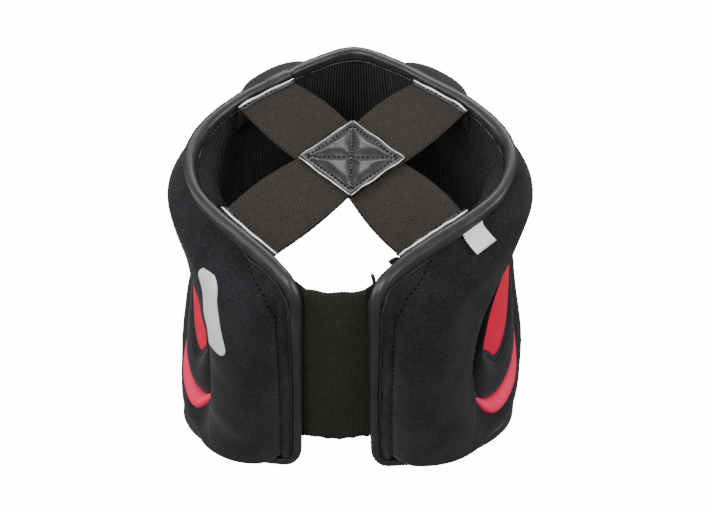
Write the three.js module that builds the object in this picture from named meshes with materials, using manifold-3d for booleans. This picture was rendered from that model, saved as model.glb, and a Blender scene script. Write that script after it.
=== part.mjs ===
// Soft wrestling ear guard, seen from the back: lengths in mm, +Z up, the head opening upwards.
// The back of the guard faces -Y, the forehead +Y, and the guard stands on its lower edge.
import * as THREE from "three";
import { mergeVertices } from "three/addons/utils/BufferGeometryUtils.js";
import Module from "manifold-3d";

const wasm = await Module();
wasm.setup();

// Overall sizes of the padded wall, measured to its inner face
const halfWidth = 82;
const halfDepth = 75;
const wallHeight = 156;
const rearSway = 7;
const swayStart = 0.38;
const depthShift = 10.2;

// Layers of the wall
const hemThickness = 1.8;
const padThickness = 15;
const liningThickness = 1;
const pieceGap = 0.5;
const shellGap = 0.8;
const hemWidth = 7;
const hemMargin = 1.5;
const padRise = 22;

// Edge binding
const bindingThickness = 0.8;
const bindingLeg = 5;
const cornerRadius = 12;

// Ear windows in the sides
const earFromForehead = 110;
const earHeight = 74;
const earHalfLength = 35;
const earHalfHeight = 45;
const earFrameWidth = 6;
const earFrameRise = 10;
const earDomeRise = 3.5;
const earBandWidth = 9;
const earSlant = 0.4;
const earFront = 4;
const earBack = 4;
const earSole = 21;
const earBandRise = 9.5;
const grooveDepth = 9;
const grooveWidth = 12;

// Straps over the head and the band at the back
const strapWidth = 38;
const strapThickness = 1.5;
const strapTail = 13;
const strapBend = 2;
const strapEdgeDrop = 3.5;
const strapCrossShare = 0.962;
const strapCrossBack = -0.08;
const frontStrapShare = 0.24;
const rearStrapShare = 0.785;
const frontFlare = 0.9;
const rearFlare = 1.2;
const patchSide = 39;
const patchThickness = 1.6;
const patchPuff = 1.6;
const patchSeam = 5.5;
const bandHeight = 113.5;
const bandFloor = 16.5;
const bandThickness = 2;
const bandOverlap = 16;
const bandBow = 2;

// Size label and plain reflective bar
const labelWidth = 14;
const labelLength = 7;
const labelThickness = 0.7;
const labelShare = 0.695;
const labelLift = 4;
const labelSkew = 5;
const barWidth = 24;
const barLength = 38;
const barThickness = 0.6;
const barShare = 0.738;
const barHeight = 105;
const barSlant = 12;

// Numbers of facets
const straightColumns = 44;
const cornerColumns = 3;
const wallRows = 13;
const liningRows = 7;
const earSegments = 36;

// Stations along half of the wall, from the rear edge to the middle of the forehead.
// x, y and z are shares of halfWidth, halfDepth and wallHeight; pad and lip are shares of padThickness and padRise.
const stations = [
  { rimX: 0.205, rimY: -1.05, rimZ: 0.85, midX: 0.225, midY: -1.12, hemX: 0.245, hemY: -1.175, hemZ: 0, pad: 0.5, lip: 1 },
  { rimX: 0.375, rimY: -0.85, rimZ: 0.88, midX: 0.43, midY: -1.09, hemX: 0.46, hemY: -1.155, hemZ: 0, pad: 0.85, lip: 1 },
  { rimX: 0.575, rimY: -0.67, rimZ: 0.905, midX: 0.575, midY: -1.02, hemX: 0.67, hemY: -1.115, hemZ: 0, pad: 1, lip: 1 },
  { rimX: 0.77, rimY: -0.51, rimZ: 0.93, midX: 0.66, midY: -0.91, hemX: 0.88, hemY: -1.01, hemZ: 0, pad: 0.95, lip: 1 },
  { rimX: 0.935, rimY: -0.32, rimZ: 0.955, midX: 0.78, midY: -0.72, hemX: 1.05, hemY: -0.82, hemZ: 0, pad: 0.95, lip: 0.8 },
  { rimX: 1, rimY: -0.05, rimZ: 0.975, midX: 0.9, midY: -0.43, hemX: 1.08, hemY: -0.56, hemZ: 0, pad: 1, lip: 0.6 },
  { rimX: 0.925, rimY: 0.21, rimZ: 0.985, midX: 0.92, midY: -0.08, hemX: 1.02, hemY: -0.2, hemZ: 0.025, pad: 0.9, lip: 0.5 },
  { rimX: 0.73, rimY: 0.46, rimZ: 0.995, midX: 0.84, midY: 0.33, hemX: 0.91, hemY: 0.18, hemZ: 0.14, pad: 0.95, lip: 0.45 },
  { rimX: 0.5, rimY: 0.65, rimZ: 1, midX: 0.63, midY: 0.64, hemX: 0.68, hemY: 0.55, hemZ: 0.28, pad: 1.2, lip: 0.4 },
  { rimX: 0.26, rimY: 0.84, rimZ: 1, midX: 0.33, midY: 0.85, hemX: 0.36, hemY: 0.79, hemZ: 0.36, pad: 1.1, lip: 0.4 },
  { rimX: 0, rimY: 0.965, rimZ: 1, midX: 0, midY: 0.95, hemX: 0, hemY: 0.89, hemZ: 0.385, pad: 0.3, lip: 1 },
];

const clamp = (v, low, high) => Math.min(high, Math.max(low, v));
const mix = (a, b, k) => a + (b - a) * k;
const smooth = (v) => {
  const k = clamp(v, 0, 1);
  return k * k * (3 - 2 * k);
};

// One column of the station table at a share along the half wall, as a smooth curve
function column(name, share) {
  const last = stations.length - 1;
  const at = Math.min(1, share) * last;
  const i = clamp(Math.floor(at), 0, last - 1);
  const k = at - i;
  const sign = name.endsWith("X") ? -1 : 1;
  const p1 = stations[i][name];
  const p2 = stations[i + 1][name];
  const p0 = i > 0 ? stations[i - 1][name] : 2 * p1 - p2;
  const p3 = i + 2 <= last ? stations[i + 2][name] : sign * p1;
  const rise = p2 - p0;
  const turn = 2 * p0 - 5 * p1 + 4 * p2 - p3;
  const twist = 3 * p1 - 3 * p2 + p3 - p0;
  return 0.5 * (2 * p1 + rise * k + turn * k * k + twist * k * k * k);
}

// The value at height share t of a curve through its hem, middle and rim values
const throughThree = (hem, mid, rim, t) =>
  hem * (1 - t) * (1 - 2 * t) + mid * 4 * t * (1 - t) + rim * t * (2 * t - 1);

// Height share of the hem, which never dips below the floor
const hemShare = (share) => Math.max(0, column("hemZ", share));

// Inner face of the wall; s runs from -1 at the left rear edge over 0 at the forehead to 1
function innerPoint(s, t) {
  const share = 1 - Math.abs(s);
  const side = s < 0 ? -1 : 1;
  const x = halfWidth * throughThree(column("hemX", share), column("midX", share), column("rimX", share), t);
  const y = halfDepth * throughThree(column("hemY", share), column("midY", share), column("rimY", share), t);
  const z = wallHeight * mix(hemShare(share), column("rimZ", share), t) + bindingThickness + pieceGap;
  const sway = rearSway * smooth((Math.abs(s) - swayStart) / (1 - swayStart));
  return new THREE.Vector3(side * x - sway, y + depthShift, z);
}

// Outward direction of the wall
function outward(s, t) {
  const step = 0.004;
  const along = innerPoint(s + step, t).sub(innerPoint(s - step, t));
  return new THREE.Vector3(-along.y, along.x, 0).normalize();
}

// A point d mm outside the inner face
const wallPoint = (s, t, d) => innerPoint(s, t).addScaledVector(outward(s, t), d);

// Height of the wall at s, and the length of half of it along its middle
const heightAt = (s) => wallHeight * (column("rimZ", 1 - Math.abs(s)) - hemShare(1 - Math.abs(s)));
const halfLength = (() => {
  const steps = 100;
  let sum = 0;
  for (let i = 0; i < steps; i++) sum += innerPoint(i / steps, 0.5).distanceTo(innerPoint((i + 1) / steps, 0.5));
  return sum;
})();

// Place in the ear area: q is 1 on the outline of the ear frame, angle 0 points to the back
const earPower = 2.8;
function earRadius(angle) {
  const c = Math.abs(Math.cos(angle)) / earHalfLength;
  const n = Math.abs(Math.sin(angle)) / earHalfHeight;
  return (c ** earPower + n ** earPower) ** (-1 / earPower);
}
function earPlace(side, angle, radius) {
  const rise = radius * Math.sin(angle);
  const s = (earFromForehead + radius * Math.cos(angle) - earSlant * rise) / halfLength;
  const t = (earHeight + rise) / heightAt(s);
  return { s: side * s, t };
}
function earShare(s, t) {
  const b = t * heightAt(s) - earHeight;
  const a = Math.abs(s) * halfLength - earFromForehead + earSlant * b;
  const angle = Math.atan2(b, a);
  return { angle, radius: Math.hypot(a, b), outline: earRadius(angle) };
}

// Width of the red band below the ear frame, which tapers at both ends
const bandFirst = 22;
const bandLast = 31;
const segmentAngle = (index) => (index / earSegments) * 2 * Math.PI;
function bandWidthAt(angle) {
  const turn = (angle + 2 * Math.PI) % (2 * Math.PI);
  const inside = Math.min(turn - segmentAngle(bandFirst), segmentAngle(bandLast) - turn);
  return inside < -0.001 ? 0 : earBandWidth * mix(0.3, 1, smooth(inside / 0.5));
}

// Thickness of the padded outer shell: thin along the hem, full in the middle, grooved round the ears
function shellThickness(s, t) {
  const height = heightAt(s);
  const toTop = (1 - t) * height - hemWidth;
  const toHem = t * height - bindingLeg - hemMargin;
  const toRear = (1 - Math.abs(s)) * halfLength - hemWidth;
  const rise = (v, run) => Math.sin((clamp(v / run, 0, 1) * Math.PI) / 2);
  const pad = padThickness * column("pad", 1 - Math.abs(s));
  const lip = column("lip", 1 - Math.abs(s));
  const ear = earShare(s, t);
  const away = (ear.radius - ear.outline - bandWidthAt(ear.angle)) / grooveWidth;
  const groove = grooveDepth * Math.exp(-away * away);
  const full = pad * rise(toTop, padRise * lip) * rise(toHem, padRise / 2) * rise(toRear, padRise);
  return hemThickness + Math.max(0, full - groove * smooth(full / padThickness));
}
const shellInner = liningThickness + shellGap;
const shellOuter = (s, t) => shellInner + shellThickness(s, t);

// Columns of the wall grid: even along the wall, then round the rear corners
const wallColumns = [];
for (let i = cornerColumns; i >= 1; i--) {
  wallColumns.push({ side: -1, turn: ((i / cornerColumns) * Math.PI) / 2 });
}
for (let i = 0; i <= straightColumns; i++) wallColumns.push({ share: (2 * i) / straightColumns - 1 });
for (let i = 1; i <= cornerColumns; i++) {
  wallColumns.push({ side: 1, turn: ((i / cornerColumns) * Math.PI) / 2 });
}
function columnPlace(c) {
  const straight = 1 - cornerRadius / halfLength;
  if (c.turn === undefined) return { s: c.share * straight, inset: 0 };
  const s = c.side * (straight + (cornerRadius * Math.sin(c.turn)) / halfLength);
  return { s, inset: cornerRadius * (1 - Math.cos(c.turn)) };
}

// Height share of a row: rows keep their distance from the rim and the hem, evenly spaced between
const edgeRows = [0, bindingLeg + hemMargin, hemWidth + padRise * 0.3, hemWidth + padRise * 0.65];
function rowShare(place, k) {
  const height = heightAt(place.s);
  const row = Math.round(k * wallRows);
  const last = edgeRows.length - 1;
  if (row <= last) return (place.inset + edgeRows[row]) / height;
  if (wallRows - row <= last) return 1 - (place.inset + edgeRows[wallRows - row]) / height;
  const low = (place.inset + edgeRows[last]) / height;
  return mix(low, 1 - low, (row - last) / (wallRows - 2 * last));
}

// A closed body between two sheets of points; closed sheets join their first and last column
function slab(columns, rows, closed, pointAt) {
  const points = [];
  const faces = [];
  const count = closed ? columns : columns + 1;
  const id = (i, j, side) => ((i % count) * (rows + 1) + j) * 2 + side;
  for (let i = 0; i < count; i++) {
    for (let j = 0; j <= rows; j++) {
      for (const side of [0, 1]) points.push(pointAt(i / columns, j / rows, side, i, j));
    }
  }
  const quad = (a, b, c, d) => faces.push([a, b, c], [a, c, d]);
  for (let i = 0; i < columns; i++) {
    for (let j = 0; j < rows; j++) {
      quad(id(i, j, 1), id(i + 1, j, 1), id(i + 1, j + 1, 1), id(i, j + 1, 1));
      quad(id(i, j, 0), id(i, j + 1, 0), id(i + 1, j + 1, 0), id(i + 1, j, 0));
    }
    quad(id(i, 0, 0), id(i + 1, 0, 0), id(i + 1, 0, 1), id(i, 0, 1));
    quad(id(i, rows, 1), id(i + 1, rows, 1), id(i + 1, rows, 0), id(i, rows, 0));
  }
  for (let j = 0; j < rows && !closed; j++) {
    quad(id(0, j, 1), id(0, j + 1, 1), id(0, j + 1, 0), id(0, j, 0));
    quad(id(columns, j, 0), id(columns, j + 1, 0), id(columns, j + 1, 1), id(columns, j, 1));
  }
  return closedBody(points, faces);
}

// A closed tube whose section points follow a closed path
function loop(stops, corners, pointAt) {
  const points = [];
  const faces = [];
  for (let i = 0; i < stops; i++) {
    for (let j = 0; j < corners; j++) points.push(pointAt(i, j));
  }
  const id = (i, j) => (i % stops) * corners + (j % corners);
  for (let i = 0; i < stops; i++) {
    for (let j = 0; j < corners; j++) {
      faces.push([id(i, j), id(i + 1, j), id(i + 1, j + 1)], [id(i, j), id(i + 1, j + 1), id(i, j + 1)]);
    }
  }
  return closedBody(points, faces);
}

// Merge points that coincide, drop the faces that vanish with them and turn the body to face out
function closedBody(points, faces) {
  const raw = new THREE.BufferGeometry().setFromPoints(points);
  raw.setIndex(faces.flat());
  const merged = mergeVertices(raw, 1e-3);
  const index = merged.index.array;
  const kept = [];
  const a = new THREE.Vector3();
  const b = new THREE.Vector3();
  const c = new THREE.Vector3();
  let volume = 0;
  for (let i = 0; i < index.length; i += 3) {
    const [p, q, r] = [index[i], index[i + 1], index[i + 2]];
    if (p === q || q === r || r === p) continue;
    kept.push(p, q, r);
    a.fromBufferAttribute(merged.attributes.position, p);
    b.fromBufferAttribute(merged.attributes.position, q);
    c.fromBufferAttribute(merged.attributes.position, r);
    volume += a.dot(b.cross(c));
  }
  if (volume < 0) for (let i = 0; i < kept.length; i += 3) [kept[i], kept[i + 1]] = [kept[i + 1], kept[i]];
  merged.setIndex(kept);
  return merged;
}

// Bodies to and from manifold solids, for cutting
function toSolid(geometry) {
  const mesh = new wasm.Mesh({
    numProp: 3,
    vertProperties: new Float32Array(geometry.attributes.position.array),
    triVerts: new Uint32Array(geometry.index.array),
  });
  return new wasm.Manifold(mesh);
}
function fromSolid(solid) {
  const mesh = solid.getMesh();
  const geometry = new THREE.BufferGeometry();
  geometry.setAttribute("position", new THREE.BufferAttribute(new Float32Array(mesh.vertProperties), 3));
  geometry.setIndex(new THREE.BufferAttribute(new Uint32Array(mesh.triVerts), 1));
  return geometry;
}

const root = new THREE.Group();
root.name = "wrestling_ear_guard";
function add(name, geometry, color, roughness) {
  const flat = geometry.toNonIndexed();
  flat.computeVertexNormals();
  const mesh = new THREE.Mesh(flat, new THREE.MeshStandardMaterial({ color, roughness, metalness: 0 }));
  mesh.name = name;
  root.add(mesh);
}

// Colours
const neopreneColor = 0x17171b;
const knitColor = 0x131315;
const vinylColor = 0x2c2c30;
const elasticColor = 0x37332f;
const redColor = 0xd9112f;
const labelColor = 0xe6e6e4;
const barColor = 0xc9cbcc;

// Padded outer shell with an opening for each ear
const wallCount = wallColumns.length - 1;
const shellBody = slab(wallCount, wallRows, false, (u, v, side, i) => {
  const place = columnPlace(wallColumns[i]);
  const t = rowShare(place, v);
  return wallPoint(place.s, t, side ? shellOuter(place.s, t) : shellInner);
});
const earCut = (side) =>
  slab(earSegments, 5, true, (u, v, outer) => {
    const angle = u * 2 * Math.PI;
    const bandWidth = bandWidthAt(angle);
    const margin = bandWidth > 0 ? bandWidth + 2.4 * pieceGap : pieceGap;
    const { s, t } = earPlace(side, angle, v * (earRadius(angle) + margin));
    return wallPoint(s, t, outer ? 3 * padThickness : -padThickness / 2);
  });
const shell = toSolid(shellBody).subtract(toSolid(earCut(-1))).subtract(toSolid(earCut(1)));
add("outer_shell", fromSolid(shell), neopreneColor, 0.85);

// Knit lining on the inner face
const lining = slab(wallCount, liningRows, false, (u, v, side, i) => {
  const place = columnPlace(wallColumns[i]);
  return wallPoint(place.s, rowShare(place, v), side ? liningThickness : 0);
});
add("inner_lining", lining, knitColor, 0.95);

// Vinyl binding folded over the whole edge of the wall
const border = [];
for (const c of wallColumns) {
  const place = columnPlace(c);
  const turn = c.turn ?? 0;
  const side = c.side ?? 0;
  border.push({ s: place.s, t: rowShare(place, 1), alongIn: -side * Math.sin(turn), upIn: -Math.cos(turn) });
}
const rearRows = 10;
for (let k = 1; k < rearRows; k++) {
  const place = columnPlace(wallColumns[wallCount]);
  border.push({ s: place.s, t: mix(rowShare(place, 1), rowShare(place, 0), k / rearRows), alongIn: -1, upIn: 0 });
}
for (const c of [...wallColumns].reverse()) {
  const place = columnPlace(c);
  const turn = c.turn ?? 0;
  const side = c.side ?? 0;
  border.push({ s: place.s, t: rowShare(place, 0), alongIn: -side * Math.sin(turn), upIn: Math.cos(turn) });
}
for (let k = 1; k < rearRows; k++) {
  const place = columnPlace(wallColumns[0]);
  border.push({ s: place.s, t: mix(rowShare(place, 0), rowShare(place, 1), k / rearRows), alongIn: 1, upIn: 0 });
}
const legOut = shellInner + hemThickness + pieceGap;
const legIn = -pieceGap;
const roll = bindingThickness * 0.6;
const bindingSection = [
  { inward: bindingLeg, d: legOut },
  { inward: bindingLeg, d: legOut + bindingThickness },
  { inward: 0, d: legOut + bindingThickness },
  { inward: -pieceGap - bindingThickness, d: legOut - roll },
  { inward: -pieceGap - bindingThickness, d: legIn + roll },
  { inward: 0, d: legIn - bindingThickness },
  { inward: bindingLeg, d: legIn - bindingThickness },
  { inward: bindingLeg, d: legIn },
  { inward: -pieceGap, d: legIn },
  { inward: -pieceGap, d: legOut },
];
const binding = loop(border.length, bindingSection.length, (i, j) => {
  const stop = border[i];
  const corner = bindingSection[j];
  const s = stop.s + (stop.alongIn * corner.inward) / halfLength;
  const t = stop.t + (stop.upIn * corner.inward) / heightAt(stop.s);
  return wallPoint(s, t, corner.d);
});
add("edge_binding", binding, vinylColor, 0.4);

// Inner face of the pieces in the ear openings
const earInner = shellInner + pieceGap;

// Ear areas: black frame, red domed window and red band
for (const [side, name] of [[-1, "left"], [1, "right"]]) {
  const window = (angle) => {
    const below = Math.max(0, -Math.sin(angle));
    const front = Math.max(0, -Math.cos(angle));
    const back = Math.max(0, Math.cos(angle));
    const width = earFrameWidth + earSole * below * below + earFront * front - earBack * back;
    return 1 - width / earRadius(angle);
  };
  const frame = slab(earSegments, 3, true, (u, v, outer) => {
    const angle = u * 2 * Math.PI;
    const reach = earRadius(angle);
    const { s, t } = earPlace(side, angle, reach * mix(window(angle), 1, v));
    const puff = Math.sin(Math.PI * mix(0.12, 0.88, v)) ** 0.5;
    return wallPoint(s, t, outer ? earInner + earFrameRise * puff : earInner);
  });
  add("ear_frame_" + name, frame, neopreneColor, 0.85);
  const dome = slab(earSegments, 4, true, (u, v, outer) => {
    const angle = u * 2 * Math.PI;
    const reach = earRadius(angle) * window(angle) - pieceGap;
    const { s, t } = earPlace(side, angle, reach * v);
    const puff = Math.sqrt(1 - 0.8 * v * v);
    return wallPoint(s, t, outer ? earInner + earFrameRise * 0.45 + earDomeRise * puff : earInner);
  });
  add("ear_window_" + name, dome, redColor, 0.45);
  const band = slab(bandLast - bandFirst, 2, false, (u, v, outer, i) => {
    const angle = segmentAngle(bandFirst + i);
    const { s, t } = earPlace(side, angle, earRadius(angle) + pieceGap + v * bandWidthAt(angle));
    const puff = Math.sin(Math.PI * mix(0.2, 0.8, v)) ** 0.5;
    return wallPoint(s, t, outer ? earInner + earBandRise * puff : earInner);
  });
  add("ear_band_" + name, band, redColor, 0.5);
}

// Height and depth at which the straps cross
const strapCrossZ = wallHeight * strapCrossShare;
const strapCrossY = halfDepth * strapCrossBack + depthShift;

// Sheet between two strap ends: rows of points along the strap, each row across it
const strapOff = 2 * pieceGap + bindingThickness + strapThickness / 2;
function strapEnd(side, station, flare) {
  const width = (strapWidth * flare) / halfLength;
  const rows = [];
  for (const down of [strapTail, strapTail / 2, 0]) {
    rows.push((v) => {
      const s = side * (station + width * v);
      return wallPoint(s, 1 - (strapEdgeDrop + down) / heightAt(s), -strapOff);
    });
  }
  return rows;
}
function strapRows(first, second, lift) {
  const centre = new THREE.Vector3(0, strapCrossY, strapCrossZ + lift);
  const start = strapEnd(first.side, first.station, frontFlare);
  const finish = strapEnd(second.side, second.station, rearFlare);
  const from = start[2](0);
  const to = finish[2](0);
  const along = to.clone().sub(from).setZ(0).normalize();
  const across = new THREE.Vector3(along.y, -along.x, 0);
  const edge = (rows, sign) => (v) => rows(sign * v);
  const signOf = (rows) => (rows(0.5).sub(rows(-0.5)).dot(across) > 0 ? 1 : -1);
  const startSign = signOf(start[2]);
  const finishSign = signOf(finish[2]);
  const middle = (k) => (v) =>
    centre
      .clone()
      .addScaledVector(along, k * patchSide * 0.5)
      .addScaledVector(across, v * strapWidth);
  const ends = [
    { rows: start, sign: startSign, towards: middle(-1) },
    { rows: finish, sign: finishSign, towards: middle(1) },
  ].map(({ rows, sign, towards }) => {
    const crease = edge(rows[2], sign);
    const bend = (v) => {
      const c = crease(v);
      const inward = towards(v).sub(c).normalize();
      return c.addScaledVector(inward, strapBend).add(new THREE.Vector3(0, 0, strapBend * 0.6));
    };
    const spanned = [];
    for (let i = 1; i <= 5; i++) {
      const k = i / 6;
      spanned.push((v) => bend(v).lerp(towards(v), k));
    }
    return [edge(rows[0], sign), edge(rows[1], sign), crease, bend, ...spanned, towards];
  });
  return [...ends[0], middle(0), ...ends[1].reverse()];
}
function strapSheet(rows, columns, thickness, rise = 0) {
  const step = 0.02;
  const at = (i, v) => rows[i](v);
  return slab(rows.length - 1, columns, false, (u, v, outer, i) => {
    const w = v - 0.5;
    const before = at(Math.max(0, i - 1), w);
    const after = at(Math.min(rows.length - 1, i + 1), w);
    const across = at(i, w + step).sub(at(i, w - step));
    const normal = after.sub(before).cross(across).normalize();
    return at(i, w).addScaledVector(normal, rise + (outer ? 0.5 : -0.5) * thickness);
  });
}
const lowerLift = 0;
const upperLift = strapThickness + pieceGap;
const strapA = strapRows({ side: -1, station: frontStrapShare }, { side: 1, station: rearStrapShare }, lowerLift);
const strapB = strapRows({ side: 1, station: frontStrapShare }, { side: -1, station: rearStrapShare }, upperLift);
add("cross_strap_lower", strapSheet(strapA, 4, strapThickness), elasticColor, 0.9);
add("cross_strap_upper", strapSheet(strapB, 4, strapThickness), elasticColor, 0.9);

// Square vinyl patch over the crossing
const patchTop = strapCrossZ + upperLift + strapThickness / 2 + pieceGap;
const patch = slab(8, 8, false, (u, v, outer) => {
  const a = (u - 0.5) * patchSide;
  const b = (v - 0.5) * patchSide;
  const x = (a - b) * Math.SQRT1_2;
  const y = (a + b) * Math.SQRT1_2;
  const diagonal = Math.min(Math.abs(a - b), Math.abs(a + b)) * Math.SQRT1_2;
  const border = Math.min(patchSide / 2 - Math.abs(a), patchSide / 2 - Math.abs(b));
  const rise = smooth(diagonal / patchSeam) * smooth(border / patchSeam);
  const z = outer ? patchTop + patchThickness + patchPuff * rise : patchTop;
  return new THREE.Vector3(x, strapCrossY + y, z);
});
add("centre_patch", patch, vinylColor, 0.35);

// Elastic band across the gap at the back
const bandOff = 3 * pieceGap + bindingThickness + bandThickness / 2;
const bandRow = (side, back) => (v) => {
  const s = side * (1 - back / halfLength);
  return wallPoint(s, (bandFloor + (v + 0.5) * bandHeight) / heightAt(s), -bandOff);
};
const bandEdges = [bandRow(-1, 0), bandRow(1, 0)];
const bandRows = [bandRow(-1, bandOverlap), bandRow(-1, bandOverlap / 2)];
for (let i = 0; i <= 6; i++) {
  const k = i / 6;
  bandRows.push((v) =>
    bandEdges[0](v)
      .lerp(bandEdges[1](v), k)
      .add(new THREE.Vector3(0, -bandBow * Math.sin(Math.PI * k), 0)),
  );
}
bandRows.push(bandRow(1, bandOverlap / 2), bandRow(1, bandOverlap));
add("rear_band", strapSheet(bandRows, 8, bandThickness), elasticColor, 0.9);

// Size label under the binding of the right flap
const label = slab(4, 3, false, (u, v, outer) => {
  const s = labelShare + ((u - 0.5) * labelWidth - labelSkew * v) / halfLength;
  const t = 1 - (bindingLeg + pieceGap + v * labelLength) / heightAt(s);
  const lift = 2 * pieceGap + labelLift * v * v;
  return wallPoint(s, t, shellOuter(s, t) + lift + (outer ? labelThickness : 0));
});
add("size_label", label, labelColor, 0.55);

// Plain reflective bar on the left flap
const bar = slab(3, 10, false, (u, v, outer) => {
  const end = Math.abs(2 * v - 1);
  const round = Math.sqrt(1 - 0.75 * clamp((end - 0.7) / 0.3, 0, 1) ** 2);
  const s = -barShare + ((u - 0.5) * barWidth * round + (v - 0.5) * barSlant) / halfLength;
  const t = (barHeight + (v - 0.5) * barLength) / heightAt(s);
  return wallPoint(s, t, shellOuter(s, t) + pieceGap + (outer ? barThickness : 0));
});
add("reflective_bar", bar, barColor, 0.35);

export default root;
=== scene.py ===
import math

import bpy
import numpy as np
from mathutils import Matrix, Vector


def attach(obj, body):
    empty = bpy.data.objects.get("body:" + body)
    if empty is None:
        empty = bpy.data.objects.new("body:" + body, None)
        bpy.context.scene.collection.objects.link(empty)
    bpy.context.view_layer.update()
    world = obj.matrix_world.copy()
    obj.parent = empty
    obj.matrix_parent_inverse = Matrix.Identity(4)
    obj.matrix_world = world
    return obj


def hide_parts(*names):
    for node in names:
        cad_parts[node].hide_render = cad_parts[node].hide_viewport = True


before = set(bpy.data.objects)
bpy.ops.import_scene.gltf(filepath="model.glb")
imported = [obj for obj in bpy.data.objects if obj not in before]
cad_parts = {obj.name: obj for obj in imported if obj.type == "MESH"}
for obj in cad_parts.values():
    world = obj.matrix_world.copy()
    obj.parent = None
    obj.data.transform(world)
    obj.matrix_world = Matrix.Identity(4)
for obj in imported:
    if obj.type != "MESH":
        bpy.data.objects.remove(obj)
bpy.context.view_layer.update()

# Sizes of the wall, the same as in the part
HALF_WIDTH = 82.0
HALF_DEPTH = 75.0
WALL_HEIGHT = 156.0
REAR_SWAY = 7.0
SWAY_START = 0.38
DEPTH_SHIFT = 10.2
HEM = 1.8
PAD = 15.0
LINING = 1.0
GAP = 0.5
SHELL_GAP = 0.8
HEM_WIDTH = 7.0
HEM_MARGIN = 1.5
PAD_RISE = 22.0
BINDING = 0.8
LEG = 5.0
CORNER = 12.0
EAR_FROM_FOREHEAD = 110.0
EAR_HEIGHT = 74.0
EAR_HALF_LENGTH = 35.0
EAR_HALF_HEIGHT = 45.0
EAR_FRAME_WIDTH = 6.0
EAR_SOLE = 17.0
EAR_FRONT = 4.0
EAR_BACK = 4.0
EAR_SLANT = 0.4
EAR_FRAME_RISE = 10.0
EAR_DOME_RISE = 3.5
EAR_BAND_WIDTH = 9.0
EAR_BAND_RISE = 9.5
GROOVE_DEPTH = 9.0
GROOVE_WIDTH = 12.0
STRAP_WIDTH = 38.0
STRAP_THICKNESS = 1.5
STRAP_DROP = 3.5
STRAP_TAIL = 13.0
FRONT_FLARE = 0.9
REAR_FLARE = 1.2
PATCH_SIDE = 39.0
CROSS = np.array([0.0, -0.08 * HALF_DEPTH + DEPTH_SHIFT, 0.962 * WALL_HEIGHT])
BAND_FLOOR = 16.5
BAND_HEIGHT = 113.5

# Stations from the rear edge to the middle of the forehead: shares of the sizes above
COLUMNS = ("rimX", "rimY", "rimZ", "midX", "midY", "hemX", "hemY", "hemZ", "pad", "lip")
STATIONS = np.array(
    [
        [0.205, -1.05, 0.85, 0.225, -1.12, 0.245, -1.175, 0, 0.5, 1],
        [0.375, -0.85, 0.88, 0.43, -1.09, 0.46, -1.155, 0, 0.85, 1],
        [0.575, -0.67, 0.905, 0.575, -1.02, 0.67, -1.115, 0, 1, 1],
        [0.77, -0.51, 0.93, 0.66, -0.91, 0.88, -1.01, 0, 0.95, 1],
        [0.935, -0.32, 0.955, 0.78, -0.72, 1.05, -0.82, 0, 0.95, 0.8],
        [1, -0.05, 0.975, 0.9, -0.43, 1.08, -0.56, 0, 1, 0.6],
        [0.925, 0.21, 0.985, 0.92, -0.08, 1.02, -0.2, 0.025, 0.9, 0.5],
        [0.73, 0.46, 0.995, 0.84, 0.33, 0.91, 0.18, 0.14, 0.95, 0.45],
        [0.5, 0.65, 1, 0.63, 0.64, 0.68, 0.55, 0.28, 1.2, 0.4],
        [0.26, 0.84, 1, 0.33, 0.85, 0.36, 0.79, 0.36, 1.1, 0.4],
        [0, 0.965, 1, 0, 0.95, 0, 0.89, 0.385, 0.3, 1],
    ]
)


def smooth(v):
    k = np.clip(v, 0, 1)
    return k * k * (3 - 2 * k)


def mix(a, b, k):
    return a + (b - a) * k


def column(name, share):
    """One column of the stations at a share along the half wall, as a smooth curve."""
    values = STATIONS[:, COLUMNS.index(name)]
    last = len(values) - 1
    sign = -1 if name.endswith("X") else 1
    padded = np.concatenate([[2 * values[0] - values[1]], values, [sign * values[last - 1]]])
    at = np.minimum(1, share) * last
    i = np.clip(np.floor(at), 0, last - 1).astype(int)
    k = at - i
    p0, p1, p2, p3 = padded[i], padded[i + 1], padded[i + 2], padded[i + 3]
    turn = 2 * p0 - 5 * p1 + 4 * p2 - p3
    twist = 3 * p1 - 3 * p2 + p3 - p0
    return 0.5 * (2 * p1 + (p2 - p0) * k + turn * k * k + twist * k * k * k)


def through_three(hem, mid, rim, t):
    return hem * (1 - t) * (1 - 2 * t) + mid * 4 * t * (1 - t) + rim * t * (2 * t - 1)


def hem_share(share):
    return np.maximum(0, column("hemZ", share))


def inner(s, t):
    """Inner face of the wall, s from -1 at the left rear edge to 1 at the right one."""
    share = 1 - np.abs(s)
    side = np.where(s < 0, -1.0, 1.0)
    x = HALF_WIDTH * through_three(column("hemX", share), column("midX", share), column("rimX", share), t)
    y = HALF_DEPTH * through_three(column("hemY", share), column("midY", share), column("rimY", share), t)
    z = WALL_HEIGHT * mix(hem_share(share), column("rimZ", share), t) + BINDING + GAP
    sway = REAR_SWAY * smooth((np.abs(s) - SWAY_START) / (1 - SWAY_START))
    return np.stack(np.broadcast_arrays(side * x - sway, y + DEPTH_SHIFT, z), -1)


def outward(s, t):
    along = inner(s + 0.004, t) - inner(s - 0.004, t)
    n = np.stack([-along[..., 1], along[..., 0], 0 * along[..., 2]], -1)
    return n / np.linalg.norm(n, axis=-1, keepdims=True)


def wall(s, t, d):
    s, t, d = np.broadcast_arrays(np.asarray(s, float), np.asarray(t, float), np.asarray(d, float))
    return inner(s, t) + outward(s, t) * d[..., None]


def height_at(s):
    share = 1 - np.abs(s)
    return WALL_HEIGHT * (column("rimZ", share) - hem_share(share))


_line = inner(np.linspace(0, 1, 101), np.full(101, 0.5))
HALF_LENGTH = float(np.linalg.norm(np.diff(_line, axis=0), axis=1).sum())
SHELL_IN = LINING + SHELL_GAP
EAR_IN = SHELL_IN + GAP


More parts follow.
